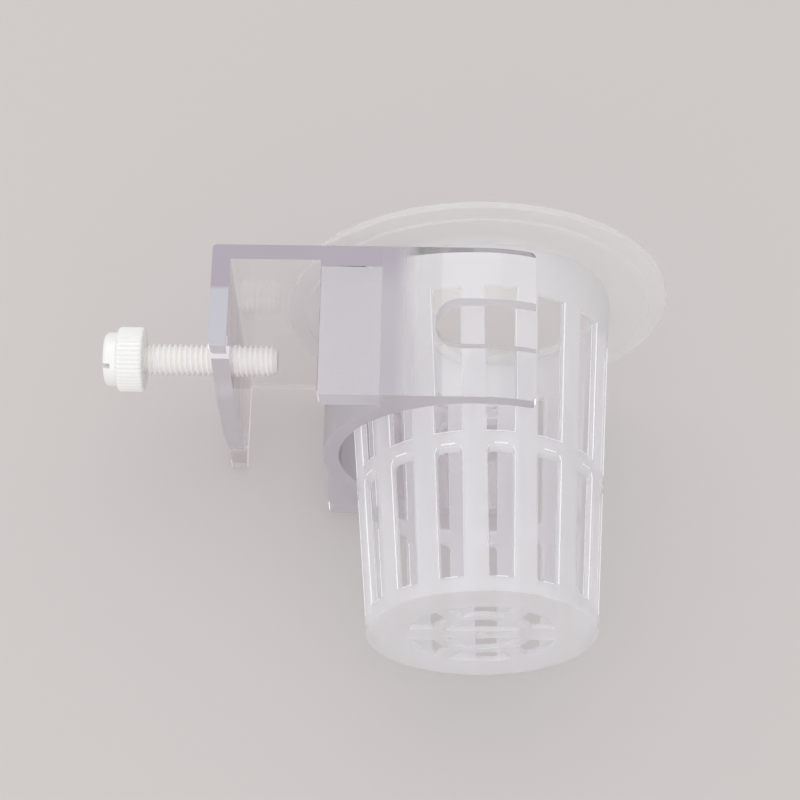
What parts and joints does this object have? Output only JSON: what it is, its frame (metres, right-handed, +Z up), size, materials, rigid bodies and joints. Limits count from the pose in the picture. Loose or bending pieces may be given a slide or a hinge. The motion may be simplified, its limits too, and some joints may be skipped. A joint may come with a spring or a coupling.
{
  "type": "aquarium plant cup",
  "caption": "Slotted net cup for an aquarium plant, held by a clear C-shaped collar on a hook that hangs on the tank's rim and is clamped by a thumb screw.",
  "frame": {"origin": "middle of the hook's seat, the underside of the bridge, which rests on the rim of the tank", "axes": "+Z up, +X from the thumb screw towards the cup, +Y along the tank's rim"},
  "size_m": [0.1041, 0.0704, 0.0699],
  "materials": {
    "clear_bracket": "clear injection moulding with a faint violet tint",
    "white_nylon": "smooth white nylon",
    "frosted_cup": "frosted translucent polypropylene"
  },
  "bodies": {
    "bracket": {"outer_jaw": "clear_bracket", "bridge": "clear_bracket", "left_cheek": "clear_bracket", "right_cheek": "clear_bracket", "collar": "clear_bracket"},
    "screw_shaft": {"screw_shank": "white_nylon"},
    "screw_knob": {"screw_head": "white_nylon"},
    "cup_rim": {"cup_flange": "frosted_cup"},
    "cup_basket": {"cup_wall": "frosted_cup", "cup_base": "frosted_cup"}
  },
  "joints": [
    {"name": "screw_travel", "type": "slide", "parent": "bracket", "child": "screw_shaft", "axis": [1, 0, 0], "range_m": [-0.0066, 0.0085]},
    {"name": "screw_turn", "type": "hinge", "parent": "screw_shaft", "child": "screw_knob", "pos_m": [-0.0256, 0, -0.0069], "axis": [1, 0, 0], "range_deg": [-2376, 3060]},
    {"name": "cup_lift", "type": "slide", "parent": "bracket", "child": "cup_rim", "axis": [0, 0, 1], "range_m": [0, 0.075]},
    {"name": "cup_turn", "type": "hinge", "parent": "cup_rim", "child": "cup_basket", "pos_m": [0.03588, 0.00004, 0.0045], "axis": [-0.0194, 0.0505, 0.9985], "continuous": true}
  ],
  "couplings": [
    {"joint": "screw_turn", "follows": "screw_travel", "rad_per_m": 6283.2}
  ]
}
